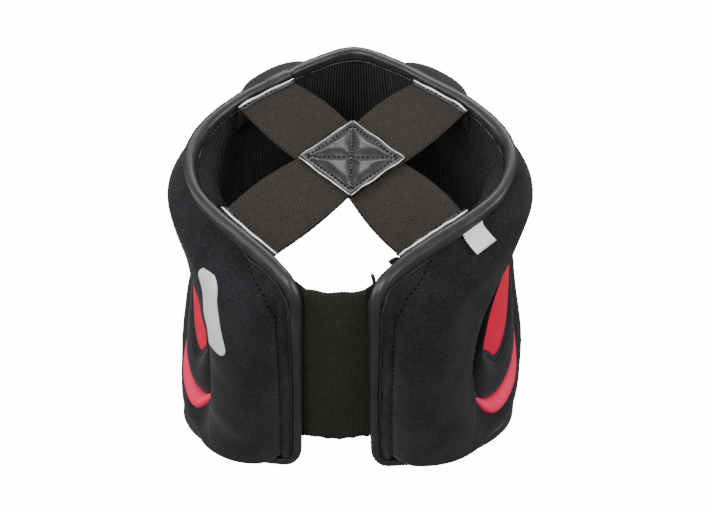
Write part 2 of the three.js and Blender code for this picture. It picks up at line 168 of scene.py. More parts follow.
# Ear area
def ear_radius(angle):
    c = np.abs(np.cos(angle)) / EAR_HALF_LENGTH
    n = np.abs(np.sin(angle)) / EAR_HALF_HEIGHT
    return (c**2.8 + n**2.8) ** (-1 / 2.8)


def ear_place(side, angle, radius):
    rise = radius * np.sin(angle)
    s = (EAR_FROM_FOREHEAD + radius * np.cos(angle) - EAR_SLANT * rise) / HALF_LENGTH
    return side * s, (EAR_HEIGHT + rise) / height_at(s)


def ear_share(s, t):
    b = t * height_at(s) - EAR_HEIGHT
    a = np.abs(s) * HALF_LENGTH - EAR_FROM_FOREHEAD + EAR_SLANT * b
    angle = np.arctan2(b, a)
    return angle, np.hypot(a, b), ear_radius(angle)


def window_share(angle):
    """Share of the ear outline's reach at which the red window starts."""
    below = np.maximum(0, -np.sin(angle))
    front = np.maximum(0, -np.cos(angle))
    back = np.maximum(0, np.cos(angle))
    width = EAR_FRAME_WIDTH + EAR_SOLE * smooth(1.2 * below) + EAR_FRONT * front - EAR_BACK * back
    return 1 - width / ear_radius(angle)


BAND_FIRST = 22 / 36 * 2 * math.pi
BAND_LAST = 31 / 36 * 2 * math.pi


def band_width(angle):
    turn = np.mod(angle, 2 * math.pi)
    inside = np.minimum(turn - BAND_FIRST, BAND_LAST - turn)
    return np.where(inside < 0, 0, EAR_BAND_WIDTH * mix(0.3, 1, smooth(inside / 0.5)))


def waves(a, b, seed, scale, count=9):
    """Smooth irregular values between about -1 and 1 over two lengths in mm."""
    r = np.random.default_rng(seed)
    out = 0 * (a + b)
    for _ in range(count):
        angle = r.uniform(0, 2 * math.pi)
        step = scale * r.uniform(0.6, 1.7)
        out = out + np.sin((a * math.cos(angle) + b * math.sin(angle)) / step * 2 * math.pi + r.uniform(0, 6.3))
    return out / math.sqrt(count)


def seam_inset(s):
    """Distance of the flap's seam below the rim, which slips under the binding towards the ear."""
    return mix(3.0, 14.0, smooth((np.abs(s) - 0.72) / 0.2))


def shell_thickness(s, t, pit=True):
    height = height_at(s)
    to_top = (1 - t) * height
    to_hem = t * height
    to_rear = (1 - np.abs(s)) * HALF_LENGTH
    rise = lambda v, run: np.sin(np.clip(v / run, 0, 1) * math.pi / 2)
    pad = PAD * column("pad", 1 - np.abs(s))
    lip = column("lip", 1 - np.abs(s))
    angle, radius, outline = ear_share(s, t)
    away = (radius - outline - band_width(angle)) / GROOVE_WIDTH
    groove = GROOVE_DEPTH * np.exp(-away * away)
    full = pad * rise(to_top - HEM_WIDTH, PAD_RISE * lip)
    full = full * rise(to_hem - LEG - HEM_MARGIN, PAD_RISE / 2) * rise(to_rear - HEM_WIDTH, PAD_RISE)
    thick = HEM + np.maximum(0, full - groove * smooth(full / PAD))
    edge = np.minimum(np.minimum(to_top, to_hem + 2), to_rear)
    along = s * HALF_LENGTH
    seam = np.minimum(to_rear - 14.0, to_top - seam_inset(s))
    flap = smooth((np.abs(s) - 0.72) / 0.05) * smooth((edge - LEG) / 2)
    thick = thick - 1.5 * flap * np.exp(-((seam / 1.5) ** 2))
    thick = thick + 0.3 * flap * np.exp(-(((np.abs(seam) - 4.0) / 2.5) ** 2)) * waves(along, to_hem, 4, 8)
    strip = smooth(-seam / 3) * smooth((edge - LEG) / 2)
    thick = thick + strip * (0.5 + 0.35 * waves(along, to_hem, 3, 14))
    soft = smooth((edge - 10) / 25)
    thick = thick + soft * (0.7 * waves(along, to_hem, 5, 70) + 0.35 * waves(along, to_hem, 6, 26))
    if pit:
        sunk = smooth((outline + band_width(angle) + 0.4 - radius) / 2.5)
        thick = mix(thick, 0.8, sunk)
    return np.maximum(0.6, thick)


def wall_grid(columns, rows):
    """Even places (s, t) over the wall with its rounded corners."""
    straight = 1 - CORNER / HALF_LENGTH
    flat = np.linspace(-straight, straight, columns)
    turn = np.linspace(0, math.pi / 2, 9)[1:]
    bend = straight + CORNER * np.sin(turn) / HALF_LENGTH
    inset = CORNER * (1 - np.cos(turn))
    s = np.concatenate([-bend[::-1], flat, bend])
    low = np.concatenate([inset[::-1], 0 * flat, inset]) / height_at(s)
    k = np.linspace(0, 1, rows)
    k = mix(k, 0.5 - 0.5 * np.cos(math.pi * k), 0.35)
    t = low[:, None] + (1 - 2 * low[:, None]) * k[None, :]
    return np.broadcast_to(s[:, None], t.shape), t


# Meshes
def make_mesh(name, points, quads, uv=None, smooth_faces=True):
    mesh = bpy.data.meshes.new(name)
    mesh.from_pydata((np.asarray(points) / 1000).tolist(), [], quads)
    if uv is not None:
        layer = mesh.uv_layers.new(name="lengths")
        index = np.empty(len(mesh.loops), int)
        mesh.loops.foreach_get("vertex_index", index)
        layer.data.foreach_set("uv", (np.asarray(uv)[index] / 1000).astype(np.float32).ravel())
    mesh.polygons.foreach_set("use_smooth", [smooth_faces] * len(mesh.polygons))
    mesh.update()
    ob = bpy.data.objects.new(name, mesh)
    bpy.context.scene.collection.objects.link(ob)
    return ob


def slab(name, outer, inner_sheet, lengths, closed=False, lengths_in=None):
    """A closed body between two sheets of points of shape (columns, rows, 3)."""
    n, m = outer.shape[:2]
    points = np.concatenate([outer.reshape(-1, 3), inner_sheet.reshape(-1, 3)])
    uv = np.concatenate([lengths.reshape(-1, 2), (lengths if lengths_in is None else lengths_in).reshape(-1, 2)])
    last = n if closed else n - 1
    quads = []
    for i in range(last):
        i2 = (i + 1) % n
        for j in range(m - 1):
            a, b, c, d = i * m + j, i2 * m + j, i2 * m + j + 1, i * m + j + 1
            quads.append((a, b, c, d))
            quads.append((n * m + d, n * m + c, n * m + b, n * m + a))
        quads.append((i * m, n * m + i * m, n * m + i2 * m, i2 * m))
        e, f = i * m + m - 1, i2 * m + m - 1
        quads.append((e, f, n * m + f, n * m + e))
    if not closed:
        for j in range(m - 1):
            quads.append((j, j + 1, n * m + j + 1, n * m + j))
            a, b = (n - 1) * m + j, (n - 1) * m + j + 1
            quads.append((a, n * m + a, n * m + b, b))
    ob = make_mesh(name, points, quads, uv)
    face_out(ob)
    return ob


def face_out(ob):
    mesh = ob.data
    co = np.empty(len(mesh.vertices) * 3)
    mesh.vertices.foreach_get("co", co)
    co = co.reshape(-1, 3)
    mesh.calc_loop_triangles()
    tri = np.empty(len(mesh.loop_triangles) * 3, int)
    mesh.loop_triangles.foreach_get("vertices", tri)
    a, b, c = co[tri.reshape(-1, 3)].transpose(1, 0, 2)
    if (a * np.cross(b, c)).sum() < 0:
        mesh.flip_normals()


def tube(name, rings, lengths):
    """A closed tube through rings of points of shape (stops, corners, 3), closed both ways."""
    n, m = rings.shape[:2]
    quads = []
    for i in range(n):
        for j in range(m):
            i2, j2 = (i + 1) % n, (j + 1) % m
            quads.append((i * m + j, i2 * m + j, i2 * m + j2, i * m + j2))
    ob = make_mesh(name, rings.reshape(-1, 3), quads, lengths.reshape(-1, 2))
    face_out(ob)
    return ob


def stitches(name, path, normals, pitch, length, radius, sink=0.0):
    """Short rounded threads along a path that lies on a surface."""
    path = np.asarray(path, float)
    step = np.linalg.norm(np.diff(path, axis=0), axis=1)
    at = np.concatenate([[0], np.cumsum(step)])
    starts = np.arange(0.4 * pitch, at[-1] - length, pitch)
    points, quads = [], []
    pick = lambda v: np.array([np.interp(v, at, path[:, k]) for k in range(3)])
    turn = lambda v: np.array([np.interp(v, at, normals[:, k]) for k in range(3)])
    for n_stitch, start in enumerate(starts):
        wobble = 0.06 * pitch * math.sin(7.3 * n_stitch)
        base = len(points)
        for k, (share, size) in enumerate([(0, 0.35), (0.2, 0.95), (0.5, 1.0), (0.8, 0.95), (1, 0.35)]):
            here = pick(start + wobble + share * length)
            ahead = pick(min(at[-1], start + wobble + share * length + 0.1)) - pick(max(0, start + wobble + share * length - 0.1))
            ahead = ahead / (np.linalg.norm(ahead) + 1e-9)
            up = turn(start + share * length)
            up = up / (np.linalg.norm(up) + 1e-9)
            sideways = np.cross(ahead, up)
            arch = radius * (0.5 * math.sin(math.pi * share) - 0.2) - sink
            for q in range(6):
                angle = q / 6 * 2 * math.pi
                points.append(here + up * (arch + radius * size * math.sin(angle) * 0.8) + sideways * radius * size * math.cos(angle))
            if k:
                for q in range(6):
                    a, b = base + (k - 1) * 6 + q, base + (k - 1) * 6 + (q + 1) % 6
                    quads.append((a, b, b + 6, a + 6))
        quads.append(tuple(base + q for q in range(5, -1, -1)))
        quads.append(tuple(base + 24 + q for q in range(6)))
    ob = make_mesh(name, np.array(points), quads)
    return ob


def cord(name, path, radius, corners=8, seed=1, rough=0.0):
    """A closed round cord along an open path, tapered to its ends."""
    path = np.asarray(path, float)
    forward = np.gradient(path, axis=0)
    forward = forward / np.linalg.norm(forward, axis=1, keepdims=True)
    side = np.cross(forward, np.array([0.13, 0.21, 0.97]))
    side = side / np.linalg.norm(side, axis=1, keepdims=True)
    up = np.cross(side, forward)
    at = np.linspace(0, 1, len(path))
    size = radius * np.sqrt(np.clip(1.02 - (2 * at - 1) ** 12, 0.02, 1))
    run = np.concatenate([[0], np.cumsum(np.linalg.norm(np.diff(path, axis=0), axis=1))])
    size = size * (1 + rough * waves(run, 0 * run, seed, 12))
    turn = np.arange(corners) / corners * 2 * math.pi
    ring = side[:, None, :] * np.cos(turn)[None, :, None] + up[:, None, :] * np.sin(turn)[None, :, None]
    points = path[:, None, :] + ring * size[:, None, None]
    n = len(path)
    quads = []
    for i in range(n - 1):
        for j in range(corners):
            k = (j + 1) % corners
            quads.append((i * corners + j, i * corners + k, (i + 1) * corners + k, (i + 1) * corners + j))
    quads.append(tuple(range(corners - 1, -1, -1)))
    quads.append(tuple((n - 1) * corners + j for j in range(corners)))
    lengths = np.stack(np.broadcast_arrays(at[:, None] * 100, turn[None, :]), -1)
    ob = make_mesh(name, points.reshape(-1, 3), quads, lengths.reshape(-1, 2))
    face_out(ob)
    return ob


# Materials
def material(name, base, roughness, build=None, specular=0.5, sheen=0.0, coat=0.0):
    mat = bpy.data.materials.new(name)
    mat.use_nodes = True
    tree = mat.node_tree
    shader = next(n for n in tree.nodes if n.type == "BSDF_PRINCIPLED")
    shader.inputs["Base Color"].default_value = (*base, 1)
    shader.inputs["Roughness"].default_value = roughness
    shader.inputs["Specular IOR Level"].default_value = specular
    shader.inputs["Sheen Weight"].default_value = sheen
    shader.inputs["Sheen Roughness"].default_value = 0.5
    shader.inputs["Coat Weight"].default_value = coat
    if build:
        build(Nodes(tree, shader, base))
    return mat


class Nodes:
    """Small helpers that add texture nodes to a material."""

    def __init__(self, tree, shader, base):
        self.tree = tree
        self.shader = shader
        self.base = base
        self.uv = tree.nodes.new("ShaderNodeUVMap")
        self.uv.uv_map = "lengths"
        self.split = tree.nodes.new("ShaderNodeSeparateXYZ")
        self.link(self.uv.outputs[0], self.split.inputs[0])
        self.place = tree.nodes.new("ShaderNodeTexCoord").outputs["Object"]
        self.height = None

    def link(self, a, b):
        self.tree.links.new(a, b)

    def put(self, value, socket):
        if isinstance(value, (int, float)):
            socket.default_value = value
        else:
            self.link(value, socket)

    def math(self, kind, a, b=0.0, clamp=False):
        node = self.tree.nodes.new("ShaderNodeMath")
        node.operation = kind
        node.use_clamp = clamp
        self.put(a, node.inputs[0])
        self.put(b, node.inputs[1])
        return node.outputs[0]

    def noise(self, scale, detail=3.0, vector=None, rough=0.55):
        node = self.tree.nodes.new("ShaderNodeTexNoise")
        node.inputs["Scale"].default_value = scale
        node.inputs["Detail"].default_value = detail
        node.inputs["Roughness"].default_value = rough
        self.link(self.place if vector is None else vector, node.inputs["Vector"])
        return node.outputs["Fac"]

    def cells(self, scale, vector=None, feature="F1"):
        node = self.tree.nodes.new("ShaderNodeTexVoronoi")
        node.feature = feature
        node.inputs["Scale"].default_value = scale
        self.link(self.place if vector is None else vector, node.inputs["Vector"])
        return node.outputs["Distance"]

    def ribs(self, axis, period, phase=0.0):
        """A sine from 0 to 1 along one UV length, period in metres."""
        turn = self.math("MULTIPLY", self.split.outputs[axis], 2 * math.pi / period)
        return self.math("MULTIPLY_ADD", self.math("SINE", self.math("ADD", turn, phase)), 0.5, False)

    def sine(self, axis, period, shift=None):
        turn = self.math("MULTIPLY", self.split.outputs[axis], 2 * math.pi / period)
        if shift is not None:
            turn = self.math("ADD", turn, shift)
        return self.math("SINE", turn)

    def tint(self, value, low, high, dark, light):
        ramp = self.tree.nodes.new("ShaderNodeValToRGB")
        ramp.color_ramp.elements[0].position = low
        ramp.color_ramp.elements[1].position = high
        ramp.color_ramp.elements[0].color = (*dark, 1)
        ramp.color_ramp.elements[1].color = (*light, 1)
        self.put(value, ramp.inputs[0])
        return ramp.outputs[0]

    def blend(self, share, a, b):
        node = self.tree.nodes.new("ShaderNodeMix")
        node.data_type = "RGBA"
        self.put(share, node.inputs[0])
        for value, socket in ((a, node.inputs[6]), (b, node.inputs[7])):
            if isinstance(value, tuple):
                socket.default_value = (*value, 1)
            else:
                self.link(value, socket)
        return node.outputs[2]

    def color(self, socket):
        self.link(socket, self.shader.inputs["Base Color"])

    def rough(self, value, low, high):
        node = self.tree.nodes.new("ShaderNodeMapRange")
        node.inputs["To Min"].default_value = low
        node.inputs["To Max"].default_value = high
        self.link(value, node.inputs["Value"])
        self.link(node.outputs[0], self.shader.inputs["Roughness"])

    def bump(self, value, distance, strength=1.0):
        node = self.tree.nodes.new("ShaderNodeBump")
        node.inputs["Distance"].default_value = distance
        node.inputs["Strength"].default_value = strength
        self.link(value, node.inputs["Height"])
        if self.height is not None:
            self.link(self.height, node.inputs["Normal"])
        self.height = node.outputs[0]
        self.link(self.height, self.shader.inputs["Normal"])


def neoprene_look(n):
    weave = n.math("MULTIPLY", n.sine("X", 0.0009), n.sine("Y", 0.0007))
    n.bump(weave, 0.00008, 0.6)
    n.bump(n.noise(1000, 2), 0.00015, 0.5)
    lint = n.math("GREATER_THAN", n.noise(1300, 1), 0.74)
    grain = n.math("ADD", n.math("MULTIPLY", n.noise(800, 3, rough=0.7), 0.6), n.math("MULTIPLY", n.noise(45, 4), 0.4))
    wear = n.tint(grain, 0.4, 0.62, (0.003, 0.003, 0.0044), (0.0175, 0.0175, 0.022))
    n.color(n.blend(n.math("MULTIPLY", lint, 0.45), wear, (0.16, 0.16, 0.17)))
    n.rough(n.noise(60, 3), 0.68, 0.88)


def knit_look(n):
    wales = n.sine("X", 0.0015, n.math("MULTIPLY", n.noise(40, 2), 2.0))
    loops = n.math("MULTIPLY", n.sine("Y", 0.0011), n.sine("X", 0.00075))
    n.bump(wales, 0.0005, 0.9)
    n.bump(loops, 0.00015, 0.6)
    # Colour follows the wales: darker in the valleys between them as painted shade, lighter on their crests.
    depth = n.math("ADD", n.math("MULTIPLY", wales, 0.35), 0.4)
    n.color(n.tint(depth, 0.1, 0.8, (0.004, 0.0037, 0.0037), (0.066, 0.06, 0.057)))
    n.rough(n.noise(80, 2), 0.82, 0.95)


def vinyl_look(n):
    n.bump(n.cells(1500), 0.00008, 0.35)
    n.bump(n.noise(260, 3), 0.0002, 0.35)
    n.color(n.tint(n.noise(90, 3), 0.3, 0.75, (0.02, 0.02, 0.021), (0.038, 0.038, 0.04)))
    n.rough(n.noise(120, 3), 0.3, 0.44)


def elastic_look(n):
    ribs = n.sine("Y", 0.0011)
    picks = n.sine("X", 0.0009, n.math("MULTIPLY", ribs, 0.8))
    n.bump(ribs, 0.0003, 0.9)
    n.bump(picks, 0.00014, 0.8)
    # Colour follows the ribs and picks: darker in their grooves as painted shade, with random tone from noise on top.
    mixed = n.math("ADD", n.math("MULTIPLY", ribs, 0.26), n.math("MULTIPLY", picks, 0.16))
    painted_rib_shade_and_tone = n.math("ADD", n.math("ADD", mixed, n.math("MULTIPLY", n.noise(300, 3), 0.3)), 0.32)
    n.color(n.tint(painted_rib_shade_and_tone, 0.1, 0.85, (0.013, 0.0112, 0.009), (0.078, 0.068, 0.057)))
    n.rough(n.noise(70, 3), 0.8, 0.95)


def band_look(n):
    ribs = n.sine("X", 0.0011)
    picks = n.sine("Y", 0.0012)
    grid = n.math("ADD", n.math("MULTIPLY", ribs, 0.2), n.math("MULTIPLY", picks, 0.2))
    n.bump(grid, 0.0004, 0.9)
    # Colour follows the rib and pick grid: darker in its grooves as painted shade, with random tone from noise on top.
    painted_rib_shade_and_tone = n.math("ADD", n.math("ADD", grid, n.math("MULTIPLY", n.noise(260, 4), 0.35)), 0.3)
    n.color(n.tint(painted_rib_shade_and_tone, 0.1, 0.85, (0.01, 0.0092, 0.0075), (0.058, 0.053, 0.044)))
    n.rough(n.noise(70, 3), 0.85, 0.95)


def red_look(n):
    n.bump(n.noise(1100, 2), 0.00006, 0.4)
    n.color(n.tint(n.noise(35, 3), 0.3, 0.75, (0.86, 0.0, 0.045), (0.98, 0.002, 0.07)))
    n.rough(n.noise(90, 3), 0.42, 0.55)


# Same red foam as the window, painted lighter and pinker: painted sheen of the ear band at a grazing angle.
def red_painted_sheen_look(n):
    n.bump(n.noise(1100, 2), 0.00006, 0.4)
    n.color(n.tint(n.noise(35, 3), 0.3, 0.75, (0.95, 0.02, 0.1), (1.0, 0.035, 0.13)))
    n.rough(n.noise(90, 3), 0.42, 0.55)


def label_look(n):
    n.bump(n.math("MULTIPLY", n.sine("X", 0.0005), n.sine("Y", 0.0005)), 0.00004, 0.5)
    n.color(n.tint(n.noise(200, 2), 0.3, 0.7, (0.9, 0.9, 0.9), (0.97, 0.97, 0.97)))


def bar_look(n):
    n.bump(n.cells(2600), 0.00003, 0.5)
    n.color(n.tint(n.noise(250, 3), 0.3, 0.75, (0.72, 0.73, 0.73), (0.82, 0.83, 0.83)))
    n.rough(n.noise(150, 2), 0.35, 0.55)


def thread_look(n):
    n.color(n.tint(n.noise(900, 2), 0.3, 0.7, n.base, tuple(1.6 * v for v in n.base)))


NEOPRENE = material("neoprene", (0.009, 0.009, 0.012), 0.75, neoprene_look, 0.22, 0.12)
KNIT = material("knit", (0.01, 0.01, 0.011), 0.9, knit_look, 0.12, 0.06)
VINYL = material("vinyl", (0.02, 0.02, 0.022), 0.36, vinyl_look, 0.5)
ELASTIC = material("elastic", (0.03, 0.026, 0.022), 0.9, elastic_look, 0.12, 0.03)
BAND_ELASTIC = material("band_elastic", (0.018, 0.016, 0.014), 0.9, band_look, 0.1, 0.02)
RED = material("red_foam", (0.75, 0.003, 0.026), 0.48, red_look, 0.25)
# Lighter, pinker copy of the red foam, for the painted sheen on the ear band.
RED_WITH_PAINTED_SHEEN = material("red_foam_painted_sheen", (0.88, 0.028, 0.07), 0.48, red_painted_sheen_look, 0.25)
LABEL = material("label_satin", (0.85, 0.85, 0.84), 0.5, label_look)
BAR = material("reflective", (0.65, 0.66, 0.66), 0.4, bar_look)
THREAD = material("thread_black", (0.0015, 0.0015, 0.0016), 0.8, thread_look, 0.1)
# Light grey for painted highlights on the rounded vinyl folds at the patch border and the strap ends.
FOLD_HIGHLIGHT_PAINT = material("painted_fold_highlight", (0.75, 0.75, 0.75), 0.7, thread_look)
# Grey for a painted highlight along the inner edge of the binding.
BINDING_HIGHLIGHT_PAINT = material("painted_binding_highlight", (0.1, 0.1, 0.1), 0.7, thread_look)
RAW_EDGE = material("raw_edge", (0.03, 0.03, 0.034), 0.8, thread_look)

shown = []


def dress(ob, mat, nodes=()):
    ob.data.materials.clear()
    ob.data.materials.append(mat)
    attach(ob, "root")
    if nodes:
        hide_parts(*nodes)
    shown.append(ob)
    return ob


# Padded outer shell
s, t = wall_grid(300, 96)
along = s * HALF_LENGTH
up = t * height_at(s)
lengths = np.stack([along, up], -1)
shell = slab("shell", wall(s, t, SHELL_IN + shell_thickness(s, t)), wall(s, t, SHELL_IN), lengths)
dress(shell, NEOPRENE, ["outer_shell"])

# Knit lining, pressed into folds where the wall bends at the rear corners
s, t = wall_grid(560, 70)
up = t * height_at(s)
along = s * HALF_LENGTH
below_rim = (1 - t) * height_at(s)
side_s = np.abs(s)
tail = smooth((side_s - 0.65) / 0.03) * smooth((22 - below_rim) / 7)
swell = np.exp(-(((side_s - 0.56) / 0.19) ** 2)) * smooth((below_rim - 4) / 15) * smooth((t - 0.1) / 0.35)
swell = swell * (1 - 0.9 * tail)
corner = np.exp(-(((side_s - 0.625) / 0.055) ** 2)) * smooth((below_rim - 5) / 12) * smooth((t - 0.2) / 0.3)
fan = (side_s - 0.7) * HALF_LENGTH * mix(0.8, 2.0, t**2) + 4 * np.sin(below_rim / 15)
folds = corner * np.abs(np.sin(fan * math.pi / 5.5)) ** 0.7 * (1 - tail)
wrinkle = 0.7 * np.exp(-(((side_s - 0.5) / 0.2) ** 2)) * waves(along * 2.2, up * 0.5, 12, 17) * smooth((below_rim - 5) / 12)
crease = np.zeros_like(s)
for place, depth in ((-0.215, 0.9), (-0.12, 1.2), (-0.03, 0.5), (0.07, 1.1), (0.19, 1.0), (0.33, 0.8), (-0.36, 0.8), (-0.43, 0.9), (0.45, 0.9)):
    lean = place + 0.012 * np.sin(up / 19 + 40 * place)
    crease = crease + depth * np.exp(-(((along / HALF_LENGTH - lean) / 0.006) ** 2))
crease = crease * smooth((1 - t) * 12) * smooth((t - 0.2) * 4)
inner_d = -9.0 * swell - 3.0 * folds - wrinkle + 0.8 * crease - 0.8 * smooth(below_rim / 14) * np.abs(waves(along, up, 11, 60))
inner_d = np.minimum(inner_d, 0.5)
lining = slab("lining", wall(s, t, LINING + 0 * s), wall(s, t, inner_d), np.stack([along, up], -1))
dress(lining, KNIT, ["inner_lining"])


# Binding round the whole edge
def border(per_side=220):
    straight = 1 - CORNER / HALF_LENGTH
    turn = np.linspace(0, math.pi / 2, 9)[1:]
    places = []
    bend = [(straight + CORNER * math.sin(a) / HALF_LENGTH, CORNER * (1 - math.cos(a)), a) for a in turn]
    for top in (True, False):
        line = [(-x, i, a, -1) for x, i, a in bend[::-1]]
        line += [(v, 0, 0, 0) for v in np.linspace(-straight, straight, per_side)]
        line += [(x, i, a, 1) for x, i, a in bend]
        if not top:
            line = line[::-1]
        for x, inset, a, side in line:
            low = inset / float(height_at(np.array(x)))
            places.append((x, 1 - low if top else low, -side * math.sin(a), -math.cos(a) if top else math.cos(a)))
        edge = 1.0 if top else -1.0
        low = CORNER / float(height_at(np.array(edge)))
        for k in np.linspace(0, 1, 62)[1:-1]:
            tt = mix(1 - low, low, k) if top else mix(low, 1 - low, k)
            places.append((edge, tt, -edge, 0.0))
    return np.array(places)


stops = border()
leg_out = SHELL_IN + HEM + GAP
leg_in = -GAP
middle = (leg_out + leg_in) / 2
half = (leg_out - leg_in) / 2
outer_profile = [(LEG, half + 0.35), (LEG - 0.5, half + BINDING), (2.4, half + BINDING)]
for a in np.linspace(math.pi / 2, -math.pi / 2, 11):
    outer_profile.append((0.8 - 2.3 * math.cos(a), (half + BINDING) * math.sin(a)))
outer_profile += [(2.4, -half - BINDING), (LEG - 0.5, -half - BINDING), (LEG, -half - 0.35)]
inner_profile = [(LEG - 0.1, -half), (2.0, -half)]
for a in np.linspace(-math.pi / 2, math.pi / 2, 5):
    inner_profile.append((0.9 - 1.4 * math.cos(a), half * math.sin(a)))
inner_profile += [(2.0, half), (LEG - 0.1, half)]
profile = np.array(outer_profile + inner_profile)
flat_path = wall(stops[:, 0], stops[:, 1], 0 * stops[:, 0])
gone = np.concatenate([[0], np.cumsum(np.linalg.norm(np.diff(flat_path, axis=0), axis=1))])
pucker = 0.22 * waves(gone, 0 * gone, 21, 13, 12) + 0.18 * waves(gone, 0 * gone, 22, 6, 9)
inward = profile[None, :, 0] + 0.6 * pucker[:, None] * (profile[None, :, 0] > 3)
lapped = smooth((stops[:, 0] + 0.235) / 0.03) * (stops[:, 0] < -0.163) * (stops[:, 1] > 0.9)
off = middle + profile[None, :, 1] * (1 + 0.1 * pucker[:, None] + 0.22 * lapped[:, None])
inward = inward - 0.9 * lapped[:, None] * (profile[None, :, 0] < 1)
bs = stops[:, 0, None] + stops[:, 2, None] * inward / HALF_LENGTH
bt = stops[:, 1, None] + stops[:, 3, None] * inward / height_at(stops[:, 0])[:, None]
rings = wall(bs, bt, off)
ring_lengths = np.stack(np.broadcast_arrays(gone[:, None], np.cumsum(np.hypot(*np.diff(profile, axis=0, prepend=profile[:1]).T))[None, :]), -1)
binding = tube("binding", rings, ring_lengths)
dress(binding, VINYL, ["edge_binding"])

# Ear areas
for side, name in ((-1, "left"), (1, "right")):
    angle = np.linspace(0, 2 * math.pi, 145)[:-1][:, None]
    window = window_share(angle)
    v = np.linspace(0, 1, 22)[None, :]
    reach = ear_radius(angle) * mix(window, 1, v)
    es, et = ear_place(side, angle, reach)
    puff = np.sin(math.pi * mix(0.1, 0.9, v)) ** 0.55
    from_window = reach - ear_radius(angle) * window
    seam = 0.8 * np.exp(-(((from_window - 3.2) / 0.9) ** 2))
    lengths = np.stack(np.broadcast_arrays(reach * np.cos(angle), reach * np.sin(angle)), -1)
    ob = slab("frame_" + name, wall(es, et, EAR_IN + EAR_FRAME_RISE * puff - seam), wall(es, et, EAR_IN + 0 * es), lengths, True)
    dress(ob, NEOPRENE, ["ear_frame_" + name])
    reach = (ear_radius(angle) * window + 1.2) * v
    es, et = ear_place(side, angle, reach)
    puff = np.sqrt(np.clip(1 - 0.8 * v * v, 0, 1)) * (1 + 0 * angle)
    lengths = np.stack(np.broadcast_arrays(reach * np.cos(angle), reach * np.sin(angle)), -1)
    dome = EAR_IN + EAR_FRAME_RISE * 0.45 + EAR_DOME_RISE * puff
    ob = slab("window_" + name, wall(es, et, dome), wall(es, et, EAR_IN + 0 * es), lengths, True)
    dress(ob, RED, ["ear_window_" + name])
    angle = np.linspace(BAND_FIRST, BAND_LAST, 60)[:, None]
    v = np.linspace(0, 1, 14)[None, :]
    reach = ear_radius(angle) + GAP + v * band_width(angle)
    es, et = ear_place(side, angle, reach)
    puff = np.sin(math.pi * mix(0.18, 0.82, v)) ** 0.5 * (1 + 0 * angle)
    lengths = np.stack(np.broadcast_arrays(angle * 30, v * EAR_BAND_WIDTH), -1)
    inside = np.minimum(angle - BAND_FIRST, BAND_LAST - angle)
    puff = puff * mix(0.35, 1, smooth(inside / 0.3))
    ob = slab("red_band_" + name, wall(es, et, EAR_IN + EAR_BAND_RISE * puff), wall(es, et, EAR_IN + 0 * es), lengths)
    dress(ob, RED_WITH_PAINTED_SHEEN, ["ear_band_" + name])


# Straps over the head
def crease_line(side, station, flare, down, v):
    sv = side * (station + STRAP_WIDTH * flare / HALF_LENGTH * v)
    off = np.full_like(sv, -(2 * GAP + BINDING + STRAP_THICKNESS / 2))
    return wall(sv, 1 - (STRAP_DROP + down) / height_at(sv), off)


def strap_centre(first, second, lift, widen, v):
    """Rows of points along a strap, from the tail inside one rim to the tail inside the other."""
    centre = CROSS + np.array([0, 0, lift])
    a = crease_line(*first, 0.0, np.array([0.0]))[0]
    b = crease_line(*second, 0.0, np.array([0.0]))[0]
    direction = (b - a) * np.array([1, 1, 0])
    direction = direction / np.linalg.norm(direction)
    across = np.array([direction[1], -direction[0], 0])
    half_rows = []
    for end, way in ((first, -1), (second, 1)):
        probe = crease_line(*end, 0.0, np.array([-0.5, 0.5]))
        sign = 1 if (probe[1] - probe[0]) @ across > 0 else -1
        towards = centre + way * direction * PATCH_SIDE * 0.45 + v[:, None] * across * STRAP_WIDTH
        rows = [crease_line(*end, d, sign * v) for d in np.linspace(STRAP_TAIL, 0, 7)]
        crease = rows[-1]
        lean = towards - crease
        lean = lean / np.linalg.norm(lean, axis=1, keepdims=True)
        for k in (0.33, 0.66, 1.0):
            rows.append(crease + lean * 2.0 * k + np.array([0, 0, 1.2 * math.sin(k * math.pi / 2)]))
        start = rows[-1]
        for k in np.linspace(0, 1, 26)[1:]:
            row = mix(start, towards, k)
            mid = row.mean(0)
            row = mid + (row - mid) * (1 + widen * math.sin(math.pi * k))
            bow = 1.1 * math.sin(math.pi * k) * np.cos(v * math.pi * 1.3)
            row = row + np.stack([0 * v, 0 * v, 1.2 * math.sin(math.pi * k) + bow], -1)
            rows.append(row)
        half_rows.append(rows)
    middle_rows = [mix(half_rows[0][-1], half_rows[1][-1], k) for k in np.linspace(0, 1, 10)[1:-1]]
    return np.array(half_rows[0] + middle_rows + half_rows[1][::-1])


def sheet_from(rows, thickness, name):
    """A closed sheet of that thickness round a grid of points."""
    across = np.gradient(rows, axis=1)
    forward = np.gradient(rows, axis=0)
    normal = np.cross(forward, across)
    normal = normal / np.linalg.norm(normal, axis=-1, keepdims=True)
    step = np.linalg.norm(np.diff(rows.mean(1), axis=0), axis=1)
    gone = np.concatenate([[0], np.cumsum(step)])
    width = np.linspace(0, np.linalg.norm(np.diff(rows, axis=1), axis=-1).sum(1).mean(), rows.shape[1])
    lengths = np.stack(np.broadcast_arrays(gone[:, None], width[None, :]), -1)
    edge = np.minimum(np.arange(rows.shape[1]), np.arange(rows.shape[1])[::-1])
    thin = (0.5 * thickness * np.where(edge == 0, 0.35, np.where(edge == 1, 0.85, 1.0)))[None, :, None]
    return slab(name, rows + normal * thin, rows - normal * thin, lengths), normal, gone[-1]


